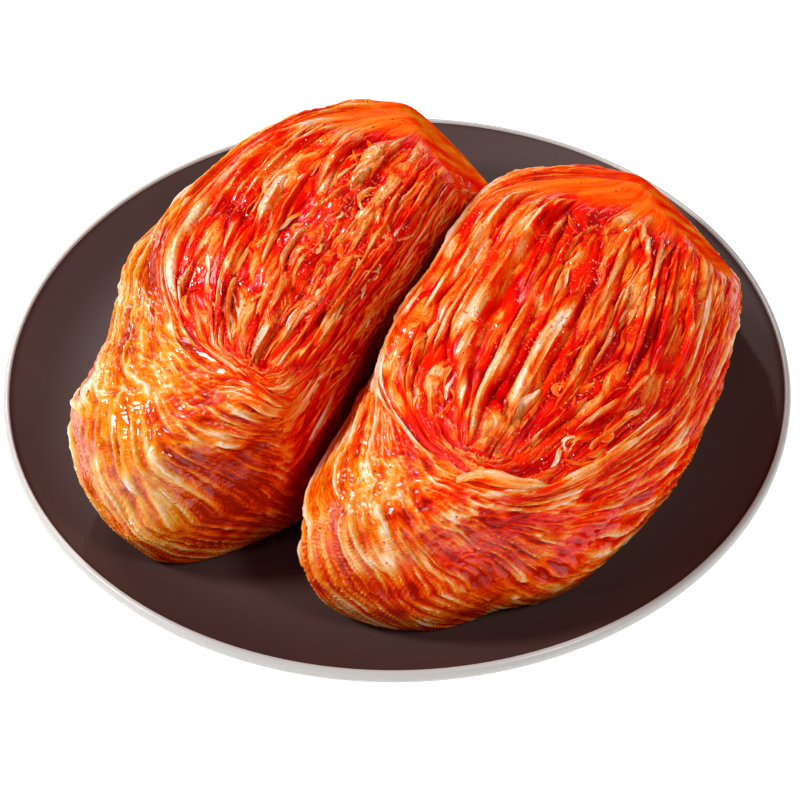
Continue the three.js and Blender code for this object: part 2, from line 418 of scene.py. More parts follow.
def cut_face(head, across, along, turn, out):
    """Relief, tone, wetness and sleekness over a cut face, and the two runs of its fibres.

    across is -1 to 1 from lip to lip, along 0 to 1 from the core to the gathered tips, turn the
    way round, 0 at the tips, and out 0 to 1 from the middle. The leaves bend round near the tips.
    """
    seed = head["seed"]
    x = across * DECK_HALF_WIDTH
    y = along * DECK_LENGTH
    mess = mess_at(head, along, across)
    lift, tone, run = leaf_relief(x, y, seed, mess)
    bent_lift, bent_tone, bent_run = leaf_relief(60 + out * DECK_HALF_WIDTH, turn * BEND_LENGTH,
                                                 seed + 20, mess)
    bent = ease(0.83, 0.92, along + 0.02 * drift(x / 6, y / 9, seed + 19))
    lift = lerp(lift, bent_lift, bent)
    tone = lerp(tone, bent_tone, bent)
    wander_along = along + 0.010 * drift(x / 2.5, y / 8, seed + 6)
    wander_across = across + 0.022 * drift(x / 8, y / 22, seed + 12) + 0.006 * drift(x / 2, y / 7, seed + 13)
    crevice = np.zeros_like(x)
    streak = 0.34 * drift(x / 0.9, y / 18, seed + 14) + 0.24 * drift(x / 2.2, y / 16, seed + 15)
    smear = ease(-0.1, 0.5, drift(x / 3.6, y / 15, seed + 16))
    uneven = 1 + 0.20 * drift(x / 9, y / 24, seed + 18)
    for one in head["ribs"]:
        centre, share = rib_path(one, wander_along)
        inside = (share > 0) & (share < 1)
        taper = np.sin(math.pi * np.clip(share, 0, 1)) ** 0.35
        half = 0.5 * one["width"] / DECK_HALF_WIDTH * np.maximum(taper, 0.02) * uneven
        off = (wander_across - centre) / half
        dome = np.clip(1 - np.abs(off) ** 4, 0, 1) ** 0.7 * taper * inside
        near = np.clip(1.7 - np.abs(off), 0, 1) * inside * taper
        trough = np.exp(-((np.abs(off) - 1.25) / 0.3) ** 2) * inside * taper
        crevice = np.maximum(crevice * (1 - dome), trough)
        lift = lift * (1 - 0.6 * near) + one["rise"] * dome
        lift = lift + dome * (0.8 * drift(x / 1.1, y / 18, seed + 17) + 0.5 * drift(x / 3, y / 7, seed + 21))
        # Each rib is painted palest along its crest: a painted highlight there.
        crest_highlight = np.exp(-(off / 0.5) ** 2)
        painted = one["tone"] * (0.62 + 0.24 * crest_highlight) + streak - 0.24 * smear
        cover = np.clip((1.1 - np.abs(off)) * 3, 0, 1) * inside * ease(0.0, 0.6, taper)
        tone = lerp(tone, painted, cover)
    # The troughs beside the ribs are sunk and painted a deeper red: painted shade in them.
    lift = lift - 1.1 * crevice
    tone = tone - 0.14 * crevice
    wet = 0.35 + 0.45 * drift(x / 5, y / 11, seed + 8)
    for place, size, strength in head["pools"]:
        pool = spot(along, across, place, size)
        tone = tone + strength * pool
        lift = lift * (1 - 0.6 * pool * (strength < 0))
        wet = wet + 0.3 * pool * (strength < 0)
    smooth_core = 1 - ease(0.03, 0.15, along + 0.04 * drift(x / 6, y / 20, seed + 11))
    tone = tone * (1 - 0.85 * smooth_core) + head["core_tone"] * 0.85 * smooth_core
    wet = np.clip(wet + 0.1 + 0.3 * mess, 0, 1) * (1 - 0.85 * smooth_core)
    sleek = np.clip(smooth_core + 1.2 * ease(0.42, 0.24, tone) * (1 - mess), 0, 1)
    return lift * (1 - 0.85 * smooth_core), np.clip(tone, 0, 1), wet, sleek, (run, bent_run, bent)


def values_of(items, key, width=1, kind=float):
    """What all items of a mesh hold under a key, one row for each item if it is more than a number."""
    values = np.empty(len(items) * width, dtype=kind)
    items.foreach_get(key, values)
    return values.reshape(-1, width) if width > 1 else values


def closed_sheets(head, name, grids, flows, fields, material):
    """One piece of a head, of closed grids whose outer columns meet and whose end rows are points.

    flows holds its UV maps and fields its attributes, all laid out as the grids are.
    """
    count, rows, columns = grids.shape[:3]
    last = count * rows - 1
    sheet = bmesh.new()
    bmesh.ops.create_grid(sheet, x_segments=columns - 1, y_segments=last, size=1.0)
    between = [face for face in sheet.faces
               if round((min(vertex.co.y for vertex in face.verts) + 1) / 2 * last) % rows == rows - 1]
    bmesh.ops.delete(sheet, geom=between, context="FACES")
    mesh = bpy.data.meshes.new(name)
    sheet.to_mesh(mesh)
    place = values_of(mesh.vertices, "co", 3)
    column = np.rint((place[:, 0] + 1) / 2 * (columns - 1)).astype(int)
    copy, row = np.divmod(np.rint((place[:, 1] + 1) / 2 * last).astype(int), rows)
    mesh.vertices.foreach_set("co", grids[copy, row, column].ravel())
    for key, values in fields.items():
        attribute = mesh.attributes.new(key, "FLOAT", "POINT")
        values = values.reshape(count, rows, columns)[copy, row, column]
        attribute.data.foreach_set("value", values.astype(np.float32))
    corner = values_of(mesh.loops, "vertex_index", kind=np.int32)
    for key, values in flows.items():
        layer = mesh.uv_layers.new(name=key)
        layer.data.foreach_set("uv", values[copy, row, column][corner].astype(np.float32).ravel())
    sheet.clear()
    sheet.from_mesh(mesh)
    at_end = (row == 0) | (row == rows - 1) | (column == 0) | (column == columns - 1)
    rim = [vertex for vertex, ends in zip(sheet.verts, at_end) if ends]
    bmesh.ops.remove_doubles(sheet, verts=rim, dist=1e-7)
    sheet.to_mesh(mesh)
    sheet.free()
    mesh.shade_smooth()
    mesh.materials.append(material)
    piece = placed(name, mesh)
    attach(piece, "root")
    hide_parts(head["node"])


def ramp(tree, value, stops):
    """A colour that follows a value through stops, each a place from 0 to 1 and a display colour."""
    node = tree.nodes.new("ShaderNodeValToRGB")
    elements = node.color_ramp.elements
    while len(elements) < len(stops):
        elements.new(0.5)
    for element, (position, colour) in zip(elements, stops):
        element.position = position
        element.color = shade(*colour)
    feed(tree, node, {"Fac": value})
    return node.outputs["Color"]


def reckoned(tree, operation, *values):
    return signal(tree, "ShaderNodeMath", "Value", dict(enumerate(values)), operation=operation)


def leaf_group():
    """Cabbage under chili paste: colour by tone, fine fibres along the leaf, and chili specks.

    Flow and Forked run across and along the fibres at two spacings, and Fork goes from one to the
    other. Sleek is where paste hides the fibres.
    """
    group = bpy.data.node_groups.new("paste_on_leaf", "ShaderNodeTree")
    for way, kind, labels in (("INPUT", "Float", ("Tone", "Olive", "Wet", "Sleek", "Fork")),
                              ("INPUT", "Vector", ("Flow", "Forked")), ("OUTPUT", "Color", ("Color",)),
                              ("OUTPUT", "Float", ("Roughness", "Film", "Height"))):
        for label in labels:
            group.interface.new_socket(label, in_out=way, socket_type="NodeSocket" + kind)
    given = group.nodes.new("NodeGroupInput").outputs
    out = group.nodes.new("NodeGroupOutput")
    place = signal(group, "ShaderNodeTexCoord", "Object", {})

    strands = []
    for label in ("Flow", "Forked"):
        stretched = signal(group, "ShaderNodeMapping", "Vector",
                           {"Vector": given[label], "Scale": (0.75, 0.075, 1.0)})
        strands.append(noise(group, stretched, 1.0, 4.0, 0.75))
    fibre = reckoned(group, "SUBTRACT", blended(group, given["Fork"], *strands, "FLOAT"), 0.5)
    # Thin lines along the fibres are painted darker and sunk in the bump: painted shade in the fine creases.
    crease = remapped(group, reckoned(group, "ABSOLUTE", fibre),
                      {"From Max": 0.035, "To Min": -0.13, "To Max": 0.03}, interpolation_type="SMOOTHSTEP")
    contrast = remapped(group, given["Sleek"], {"To Min": 1.0, "To Max": 0.12})
    grain = reckoned(group, "MULTIPLY", reckoned(group, "ADD", fibre, crease), contrast)
    tone = reckoned(group, "ADD", grain, given["Tone"])
    reds = ramp(group, tone, [(0.0, (164, 2, 0)), (0.15, (212, 4, 0)), (0.30, (234, 20, 0)),
                              (0.45, (242, 62, 0)), (0.58, (242, 114, 20)), (0.70, (244, 146, 62)),
                              (0.84, (246, 178, 122)), (1.0, (248, 210, 186))])
    olives = ramp(group, tone, [(0.0, (150, 30, 0)), (0.2, (200, 66, 0)), (0.4, (220, 112, 6)),
                                (0.6, (222, 148, 28)), (0.8, (226, 176, 104)), (1.0, (238, 210, 190))])
    leaf = blended(group, given["Olive"], reds, olives)

    specks = signal(group, "ShaderNodeTexVoronoi", "Distance", {"Vector": place, "Scale": 260.0})
    some = remapped(group, noise(group, place, 60.0, 1.0), {"From Min": 0.52, "From Max": 0.60})
    speck = reckoned(group, "MULTIPLY", reckoned(group, "LESS_THAN", specks, 0.14), some)
    beads = noise(group, place, 520.0, 1.0, 0.6)
    feed(group, out, {"Color": blended(group, speck, leaf, shade(176, 30, 4)),
                      "Roughness": remapped(group, given["Wet"], {"To Min": 0.5, "To Max": 0.12}),
                      "Film": remapped(group, given["Wet"], {"To Min": 0.0, "To Max": 0.8}),
                      "Height": reckoned(group, "MULTIPLY_ADD", beads, 1.2, grain)})
    return group


PASTE_ON_LEAF = leaf_group()


def leaf_material(name, bump_strength):
    """Wet cabbage leaf: the shared paste effect, light passing through, and a film of brine."""
    material, tree, shader = new_material(name)
    node = tree.nodes.new("ShaderNodeGroup")
    node.node_tree = PASTE_ON_LEAF
    feed(tree, node, {label: signal(tree, "ShaderNodeUVMap", "UV", {}, uv_map=label.lower())
                      for label in ("Flow", "Forked")})
    feed(tree, node, {label: signal(tree, "ShaderNodeAttribute", "Fac", {}, attribute_name=label.lower())
                      for label in ("Tone", "Olive", "Wet", "Sleek", "Fork")})
    paste = node.outputs
    bump = signal(tree, "ShaderNodeBump", "Normal",
                  {"Height": paste["Height"], "Strength": bump_strength, "Distance": 0.0006})
    feed(tree, shader, {"Base Color": paste["Color"], "Roughness": paste["Roughness"], "Normal": bump,
                        "Coat Weight": paste["Film"], "Coat Roughness": 0.06, "Specular IOR Level": 0.0,
                        "Subsurface Weight": 0.2, "Subsurface Radius": (1.0, 0.35, 0.15),
                        "Subsurface Scale": 0.002})
    return material


CUT_AROUND = 380
CUT_ROWS = 236
CUT_SKIRT = 12
CUT_REACH = 1.06
SKIRT_DEPTH = 26.0


def make_cut_face(head, name, material):
    """The cut face as one closed piece: its leafy top, and a skirt that runs down inside the head."""
    u = np.linspace(0, 1, CUT_AROUND + 1)
    s = np.concatenate([np.linspace(0, CUT_REACH, CUT_ROWS), np.full(CUT_SKIRT, CUT_REACH)])
    s, u = np.meshgrid(s, u, indexing="ij")
    points, across, along = head_surface(head, u, s)
    normals = outward(points)
    turn = (u + 0.5) % 1.0 - 0.5
    lift, tone, wet, sleek, (run, bent_run, bent) = cut_face(head, across, along, turn, s)
    stub = ease(-2.5, 1.0, trim_depth(head, points))
    tone = lerp(tone, stalk_tone(head, points), stub)
    sleek = np.maximum(sleek, 0.6 * stub)
    wet = wet * (1 - stub)
    lift = lift * ease(1.07, 0.96, s)
    lift[0] = lift[0].mean()
    points = points + normals * lift[..., None]
    sink = np.clip((np.arange(len(s)) - CUT_ROWS + 1) / CUT_SKIRT, 0, 1)[:, None, None]
    centre = points[0, 0] - np.array([0, 0, SKIRT_DEPTH])
    points = lerp(points, centre, sink)
    grid = on_plate(head, pressed(head, trimmed(head, points)))
    flow = np.stack([run, along * DECK_LENGTH], axis=-1)
    bent_flow = np.stack([bent_run, turn * BEND_LENGTH], axis=-1)
    bent_flow[:, CUT_AROUND // 2, 1] = bent_flow[:, CUT_AROUND // 2 - 1, 1]
    fields = {"tone": tone, "wet": wet, "sleek": sleek, "olive": 0 * tone, "fork": bent}
    flows = {"flow": flow[None], "forked": bent_flow[None]}
    closed_sheets(head, name, grid[None], flows, fields, material)


def rib(start, middle, end, width, tone, rise=3.0):
    """A broad rib through three places, each along and across the cut face, its width and height."""
    return {"path": (start, middle, end), "width": width, "tone": tone, "rise": rise}


left_head["ribs"] = [
    rib((0.12, -0.80), (0.42, -0.92), (0.84, -0.96), 4.5, 0.90),
    rib((0.16, -0.78), (0.35, -0.84), (0.55, -0.82), 4.0, 0.72),
    rib((0.63, -0.72), (0.72, -0.83), (0.85, -0.93), 1.6, 1.00),
    rib((0.15, -0.60), (0.40, -0.67), (0.66, -0.60), 3.6, 0.66),
    rib((0.36, -0.53), (0.48, -0.50), (0.60, -0.44), 3.6, 1.00, 3.4),
    rib((0.26, -0.41), (0.45, -0.38), (0.66, -0.32), 1.6, 0.95),
    rib((0.52, -0.50), (0.72, -0.55), (0.92, -0.62), 3.6, 0.72),
    rib((0.72, -0.47), (0.82, -0.49), (0.91, -0.42), 2.6, 0.98),
    rib((0.13, -0.32), (0.26, -0.32), (0.40, -0.24), 5.0, 0.78),
    rib((0.12, 0.06), (0.25, -0.03), (0.43, -0.22), 2.6, 0.92),
    rib((0.66, -0.13), (0.80, -0.10), (0.97, -0.05), 4.4, 0.98, 3.6),
    rib((0.50, -0.20), (0.58, -0.23), (0.70, -0.12), 1.5, 0.96),
    rib((0.24, 0.45), (0.33, 0.40), (0.46, 0.50), 3.0, 0.86),
    rib((0.56, 0.36), (0.70, 0.42), (0.82, 0.40), 6.0, 0.62, 3.6),
    rib((0.52, 0.58), (0.64, 0.55), (0.76, 0.58), 3.2, 0.76),
    rib((0.46, 0.66), (0.60, 0.68), (0.74, 0.70), 3.4, 0.80),
    rib((0.64, 0.86), (0.72, 0.78), (0.78, 0.70), 2.6, 0.74),
    rib((0.20, 0.86), (0.35, 0.94), (0.58, 0.97), 1.8, 0.70),
    rib((0.20, 0.60), (0.30, 0.63), (0.42, 0.62), 3.2, 0.60),
]
left_head["core_tone"] = 0.54
left_head["mess"] = [
    ((0.42, 0.20), (38, 19), 1.0), ((0.64, 0.0), (22, 12), 0.8), ((0.84, -0.4), (16, 14), 0.6),
    ((0.68, 0.55), (22, 12), 0.6), ((0.92, 0.1), (12, 16), 0.6), ((0.30, -0.35), (16, 8), 0.4),
]
left_head["pools"] = [
    ((0.52, -0.72), (17, 2.4), -0.35), ((0.74, -0.74), (13, 4.0), -0.10), ((0.33, 0.05), (16, 4.5), -0.28),
    ((0.80, 0.08), (9, 3.8), -0.30), ((0.90, 0.80), (9, 6.0), -0.16), ((0.60, 0.92), (14, 3.0), -0.30),
    ((0.57, -0.28), (9, 1.6), -0.40), ((0.08, -0.85), (14, 7.0), 0.28), ((0.30, -0.62), (24, 9.0), 0.14),
    ((0.10, 0.45), (14, 14.0), -0.06),
]
left_cut_finish = leaf_material("left_wet_leaf", 0.5)
make_cut_face(left_head, "left_cut_leaves", left_cut_finish)


# Left half head, leaf scraps
# Torn leaf and shredded radish from the filling lie loose on the cut face, and on the flank that
# faces the other head. Each is a soft wet strand of its own. Two folds of leaf lie over the eye.

STRAND_ROWS = 40
STRAND_COLUMNS = 18


def place_on_cut(head, across, along):
    """The shares of the way round and out for places on the cut face."""
    turn = np.linspace(0, 0.5, 400)
    before = head_surface(head, turn, np.ones_like(turn))[2] - turn * 1e-4
    after = head_surface(head, 1 - turn, np.ones_like(turn))[2] - turn * 1e-4
    u = np.where(across < 0, np.interp(along, before[::-1], turn[::-1]),
                 1 - np.interp(along, after[::-1], turn[::-1]))
    return u, np.abs(across)


def surface_frame(head, u, s):
    """Points on the bare head and the outward direction there."""
    near = 1e-3
    spots = ((u, s), (u + near, s), (u - near, s), (u, s + near), (u, np.maximum(s - near, 0)))
    middle, ahead, behind, below, above = (head_surface(head, *place, merge=1e9)[0] for place in spots)
    normal = np.cross(ahead - behind, below - above)
    return middle, normal / np.maximum(np.linalg.norm(normal, axis=-1, keepdims=True), 1e-9)


def strand(centre, up, width, rise, roll, wave, seed):
    """A grid for one strand along centre: a flat round-edged section, wide and high as given.

    centre, up, width and rise hold one value for each row. roll is how far it leans over to one
    side, and wave how far its edges crinkle.
    """
    angle = np.linspace(0, 2 * math.pi, STRAND_COLUMNS + 1)[None, :]
    way = np.gradient(centre, axis=0)
    way = way / np.linalg.norm(way, axis=-1, keepdims=True)
    side = np.cross(way, up)
    side = side / np.linalg.norm(side, axis=-1, keepdims=True)
    high = np.cross(side, way)
    length = np.concatenate([[0], np.cumsum(np.linalg.norm(np.diff(centre, axis=0), axis=-1))])[:, None]
    across = 0.5 * width[:, None] * np.sign(np.cos(angle)) * np.abs(np.cos(angle)) ** 0.8
    lift = rise[:, None] * np.where(np.sin(angle) > 0, np.sin(angle), 0.45 * np.sin(angle))
    grooves = 1 - np.abs(drift(across / 1.1 + 40, length / 13 + 0 * across, seed))
    lift = lift + wave * (0.8 * grooves - 0.4) * (np.sin(angle) > 0)
    lift = lift + wave * 1.1 * drift(across / 3 + 9, length / 4.5 + 0 * across, seed + 1)
    across = across + wave * 1.3 * drift(np.sign(across) * 3 + 0 * length, length / 5 + 0 * across, seed + 2)
    turned = across * math.cos(roll) - lift * math.sin(roll)
    raised = across * math.sin(roll) + lift * math.cos(roll)
    grid = centre[:, None] + side[:, None] * turned[..., None] + high[:, None] * raised[..., None]
    grid[0] = centre[0]
    grid[-1] = centre[-1]
    grid[:, -1] = grid[:, 0]
    flow = np.stack([across + (seed % 17) * 23.0, length + (seed % 13) * 31.0 + 0 * across], axis=-1)
    streaks = 0.5 * drift(across / 1.3, length / 16 + 0 * across, seed + 3)
    streaks = streaks + 0.5 * drift(across / 3, length / 7 + 0 * across, seed + 4)
    return grid, flow, grooves, streaks


def lay_strands(head, name, strands, material, first=0):
    """One piece of many strands, each given by its path as shares round and out, and its measures.

    first is the number of strands that the head already has, so that no two crinkle alike.
    """
    made = []
    for index, item in enumerate(strands):
        share = np.linspace(0, 1, STRAND_ROWS)
        u, s, lift, width, rise, roll, tone, olive, wave = item
        centre, up = surface_frame(head, u(share), s(share))
        taper = np.sin(math.pi * share) ** 0.6
        dip = (1 - taper) ** 2
        height = lift + rise * (0.35 - 1.3 * dip)
        centre = centre + up * height[:, None]
        seed = head["seed"] * 1000 + (first + index) * 7
        grid, flow, grooves, streaks = strand(centre, up, width * np.maximum(taper, 0.08),
                                              rise * np.maximum(taper, 0.15), roll, wave, seed)
        colour = tone + 0.5 * streaks + 0.14 * (grooves - 0.6) - 0.25 * dip[:, None]
        # The lower half of each strand's section is painted darker: painted shade under the strand.
        colour[:, STRAND_COLUMNS // 2:] -= 0.10
        colour[:, -1] = colour[:, 0]
        grid = on_plate(head, pressed(head, trimmed(head, grid)))
        made.append((grid, flow, colour, np.full_like(colour, olive)))
    grids, flows, tones, olives = (np.stack(part) for part in zip(*made))
    fields = {"tone": np.clip(tones, 0, 1), "wet": 0 * tones + 0.5, "olive": olives,
              "sleek": 0 * tones, "fork": 0 * tones}
    closed_sheets(head, name, grids, {"flow": flows, "forked": flows}, fields, material)


def bowed(start, middle, end):
    """A smooth way through three values, the middle one half way."""
    return lambda share: (start + (end - start) * share
                          + (middle - 0.5 * (start + end)) * 4 * share * (1 - share))


def scrap(head, start, middle, end, width, tone, rise, roll, wave):
    """A strand on the cut face through three places, each along and across it."""
    along, across = (bowed(*ends) for ends in zip(start, middle, end))

    def round_way(share):
        return place_on_cut(head, across(share), along(share))[0]

    def out(share):
        return np.abs(across(share))

    return round_way, out, 0.9, width, rise, roll, tone, 0.0, wave


def scraps(head, count, seed):
    """Small strands strewn over the cut face, most of them along it, and less so where it is a mess."""
    draw = np.random.default_rng(seed)
    made = []
    while len(made) < count:
        along, across = draw.uniform(0.12, 0.90), draw.uniform(-0.93, 0.93)
        mess = float(mess_at(head, along, across))
        length = draw.uniform(14, 46) * (1 - 0.55 * mess)
        slant = draw.normal(0, 0.05 + 0.8 * mess)
        sag = draw.normal(0, 0.04 + 0.16 * mess)
        half = 0.5 * length / DECK_LENGTH
        lean = 0.5 * length * slant / DECK_HALF_WIDTH
        width = draw.uniform(0.8, 2.0) + 0.8 * mess
        rise = draw.uniform(0.18, 0.32) * width
        tone = draw.choice([0.22, 0.38, 0.5, 0.64, 0.78], p=[0.2, 0.26, 0.26, 0.18, 0.1])
        tone = tone + draw.normal(0, 0.05)
        roll = draw.normal(0, 0.4)
        if along - half < 0.08 or along + half > 0.925 or abs(across) + abs(lean) > 0.97:
            continue
        if (across - lean) * (across + lean) < 0 or draw.uniform() > 0.25 + mess:
            continue
        start, end = (along - half, across - lean), (along + half, across + lean)
        middle = (along, across + math.copysign(min(abs(sag), abs(across)), sag))
        made.append(scrap(head, start, middle, end, width, tone, rise, roll, 0.5))
    return made


def flank_scraps(count, seed, turns, heights):
    """Small strands strewn over the wrap between two places round the head and two out from the eye."""
    draw = np.random.default_rng(seed)
    made = []
    for _ in range(count):
        turn, height = draw.uniform(*turns), draw.uniform(*heights)
        reach, climb, sag = draw.uniform(0.008, 0.030), draw.normal(0, 0.16), draw.normal(0, 0.05)
        width = draw.uniform(1.4, 3.2)
        tone = draw.choice([0.2, 0.34, 0.46, 0.58])
        roll = draw.normal(0, 0.4)
        round_way = bowed(turn - reach, turn, turn + reach)
        out = bowed(height - climb, height + sag, height + climb)
        made.append((round_way, out, 1.6, width, 0.28 * width, roll, tone, 0.0, 0.5))
    return made


def lip_fold(turns, heights, width, rise, tone, olive):
    """A strand along the wrap's lip through three places, each round the head and out from the eye."""
    return bowed(*turns), bowed(*heights), 1.2, width, rise, 0.2, tone, olive, 0.35


left_folds = [
    lip_fold((0.03, -0.06, -0.13), (1.06, 0.98, 1.04), 4.4, 1.4, 0.60, 0.2),
    lip_fold((-0.03, -0.08, -0.15), (1.14, 1.10, 1.20), 3.8, 1.2, 0.64, 0.2),
]
left_flank = flank_scraps(80, 31, (-0.40, -0.17), (1.02, 1.75))
lay_strands(left_head, "left_leaf_scraps", scraps(left_head, 110, 5), left_cut_finish)
lay_strands(left_head, "left_flank_scraps", left_flank + left_folds, left_cut_finish, 110)


# Left half head, outer leaves
# The green outer leaves are folded over the leaf end and tucked under, to keep the paste in. They
# are thin and glossy, and their veins and folds sweep from the shoulder down round the end.

WRAP_AROUND = 500
WRAP_ROWS = 116
SIDE_ROWS = 62
UNDER_ROWS = 5
INNER_ROWS = 6
LIP_THICKNESS = 1.6
WRAP_HEIGHT = 45.0
PERIMETER = 560.0
FAN_RATE = 15.0
FAN_REACH = 0.30


def folds(head, turn, s):
    """How far across the run of the folds a place on the wrap lies, and how often they have forked.

    The folds run along the flank to the shoulder. From there they spread over the leaf end and
    down, away from the one that follows the lip, and fork to fill the room.
    """
    run = np.maximum(head["shoulder"] - turn, 0)
    growth = FAN_RATE * FAN_REACH * (1 - np.exp(-run / FAN_REACH)) * ease(-0.47, -0.38, turn)
    return (s - head["level"]) * WRAP_HEIGHT * np.exp(-growth), growth / math.log(2)


def outer_leaves(x, y, seed):
    """Relief and tone of the wrapped leaves, x across the run of their folds and y along it."""
    x = x + 1.8 * drift(x / 9, y / 40, seed) + 0.5 * drift(x / 3, y / 14, seed + 1)
    border, pick, lean = strips(x / 4.6, y / 70, seed + 2)
    thin_border, thin_pick, thin_lean = strips(x / 1.9, y / 34, seed + 3)
    cord = np.exp(-(drift(x / 3.4, y / 64, seed + 5) / 0.13) ** 2)
    vein = np.exp(-(drift(x / 1.9, y / 36, seed + 6) / 0.15) ** 2)
    crinkle = 1 - np.abs(drift(x / 2.4, y / 5.5, seed + 9) + 0.6 * drift(x / 1.1, y / 2.6, seed + 10))
    lift = 1.5 * lean * (pick - 0.4) + 0.5 * (1 - np.exp(-border * 6)) + 1.2 * cord + 0.6 * vein
    lift = lift + 0.4 * (1 - np.exp(-thin_border * 5)) * thin_pick + 0.9 * thin_lean * (thin_pick - 0.5)
    lift = lift + 0.55 * crinkle
    tone = 0.37 + 0.20 * (pick - 0.5) + 0.28 * (thin_pick - 0.5) + 0.46 * cord + 0.32 * vein
    # Crinkle tops are painted lighter and their hollows darker: painted highlight and painted shade.
    tone = tone + 0.12 * ease(0.7, 1.0, crinkle) - 0.12 * ease(0.35, 0.1, crinkle)
    # The seams between the folds are painted darker: painted shade in the creases.
    return lift, tone - 0.18 * np.exp(-border * 8) - 0.10 * np.exp(-thin_border * 7)


def make_outer_leaves(head, name, material):
    u = np.linspace(0, 1, WRAP_AROUND + 1)
    s = np.concatenate([np.linspace(0, 0.97, INNER_ROWS), 1 + np.linspace(0, 1, WRAP_ROWS),
                        2 + np.linspace(0, 1, SIDE_ROWS + 1)[1:], 3 + np.linspace(0, 1, UNDER_ROWS + 1)[1:]])
    s, u = np.meshgrid(s, u, indexing="ij")
    points = head_surface(head, u, s)[0]
    normals = outward(points)
    seed = head["seed"] + 40
    turn = (u + 0.5) % 1.0 - 0.5
    out = (s - 1) * WRAP_HEIGHT
    across, forks = folds(head, turn, s)
    along = 0.7 * out - turn * PERIMETER
    even = 2 * np.round(forks / 2)
    odd = 2 * np.floor(forks / 2) + 1
    fork = ease(0.25, 0.75, np.abs(forks - even))
    coarse = across * 2 ** even + 211 * even
    fine = across * 2 ** odd + 211 * odd
    lift, tone = outer_leaves(coarse, along, seed)
    fine_lift, fine_tone = outer_leaves(fine, along, seed)
    lift = lerp(lift, fine_lift, fork) + 1.6 * drift(out / 14 + along / 30, along / 22, seed + 6)
    tone = lerp(tone, fine_tone, fork) + 0.18 * drift(out / 9, along / 20, seed + 7)
    tone = tone - 0.14 * ease(0.2, 0.7, drift(out / 7 + along / 20, along / 12, seed + 12))
    olive = head["olive"] + 0.25 * drift(out / 9, along / 22, seed + 8)
    wet = 0.55 + 0.6 * drift(out / 6, along / 12, seed + 9) - 0.4 * ease(1.6, 2.6, s)
    torn = ease(0.10, 0.16, -turn) * ease(0.46, 0.40, -turn) * head["torn"]
    torn_lift, torn_tone, torn_run = leaf_relief(out + 90, along, seed + 30, 0.8 + 0 * out)
    lift = lerp(lift, torn_lift, torn)
    tone = lerp(tone, torn_tone, torn)
    olive = olive * (1 - torn)
    for (place, height), (length, width), tone_shift, olive_shift, wet_shift in head["patches"]:
        patch = np.exp(-((turn - place) / length) ** 2 - ((s - height) / width) ** 2)
        tone = tone + tone_shift * patch
        olive = olive + olive_shift * patch
        wet = wet + wet_shift * patch
    front = ease(0.42, 0.30, np.abs(turn))
    stub = np.maximum(ease(0.455, 0.49, np.abs(turn)), ease(-1.5, 1.0, trim_depth(head, points)))
    tone = tone + 0.18 * np.exp(-(out / 1.8) ** 2) * front
    tone = lerp(tone, stalk_tone(head, points), stub)
    wet = wet * (1 - stub)
    lift = lift * (1 - 0.7 * ease(1.9, 2.5, s)) * ease(3.0, 2.7, s) * ease(0, 7, out) * (1 - 0.9 * stub)
    lift = lift + LIP_THICKNESS * np.exp(-(out / 5) ** 2) * (s >= 1) * front
    points = points + normals * lift[..., None]
    points[..., 2] -= np.where(s < 1, 7.0 * ease(1.0, 0.8, s) + 1.5, 0)
    grid = on_plate(head, pressed(head, trimmed(head, points)))
    flows = {}
    for key, spread in (("flow", coarse), ("forked", fine)):
        flow = np.stack([lerp(1.4 * spread, torn_run, torn), along], axis=-1)
        flow[:, WRAP_AROUND // 2, 1] = flow[:, WRAP_AROUND // 2 - 1, 1]
        flows[key] = flow[None]
    fields = {"tone": np.clip(tone, 0, 1), "wet": np.clip(wet, 0, 1), "olive": np.clip(olive, 0, 1),
              "sleek": 0.6 * stub, "fork": fork}
    closed_sheets(head, name, grid[None], flows, fields, material)


left_head["shoulder"] = 0.07
left_head["level"] = 1.2
left_head["torn"] = 1.0
left_head["olive"] = 0.34
left_head["patches"] = [
    ((0.02, 1.85), (0.06, 0.35), 0.04, 0.65, 0.7),
    ((0.06, 1.60), (0.10, 0.45), 0.05, 0.40, 0.4),
    ((-0.09, 2.0), (0.08, 0.55), -0.24, 0.10, 0.0),
    ((-0.17, 1.3), (0.05, 0.25), 0.10, 0.1, 0.2),
    # This patch darkens the wrap low on the side against the other head: painted shadow of the gap between
    # the heads.
    ((-0.30, 2.4), (0.16, 0.80), -0.40, -0.3, -0.4),
    ((-0.24, 1.4), (0.16, 0.40), -0.06, -0.3, 0.0),
    ((0.20, 1.4), (0.09, 0.40), -0.08, 0.60, 0.1),
    ((0.18, 2.3), (0.10, 0.60), -0.10, 0.30, 0.0),
    ((0.36, 1.3), (0.10, 0.50), -0.10, 0.0, -0.2),
]
make_outer_leaves(left_head, "left_outer_leaves", leaf_material("left_glossy_leaf", 0.4))


# Right half head, cut face
# The second half lies against the first. Its ribs are cleaner and paler, with the paste between
# them, and run side by side like spokes that bend together at the tips.

right_head = {
    "node": "kimchi_right",
    "slot": "cabbage_right",
    "centre": (43.0, -34.0),
    "height": 68.5,
    "core": (-82.0, 18.0),
    "outline": [(107, 6), (106, -30), (56, -40), (10, -42), (-37, -43), (-100, -42),
                (-122, 4), (-95, 49), (-52, 65), (8, 69), (61, 57), (87, 33)],
    "lip": [(81, 22), (80, 12), (72, -6), (46, -30), (-6, -36), (-70, -33),
            (-100, 8), (-78, 44), (-38, 58), (6, 62), (48, 53), (75, 38)],
    "press_depth": 3.0,
    "trim": ((-0.585, 0.458, 0.669), 100.5),
    "seed": 8,
    "core_tone": 0.54,
    "mess": [((0.22, -0.16), (16, 8), 0.9), ((0.72, 0.45), (15, 8), 0.8), ((0.80, 0.85), (25, 8), 0.6),
             ((0.90, 0.0), (12, 20), 0.6), ((0.82, -0.6), (14, 9), 0.5)],
}
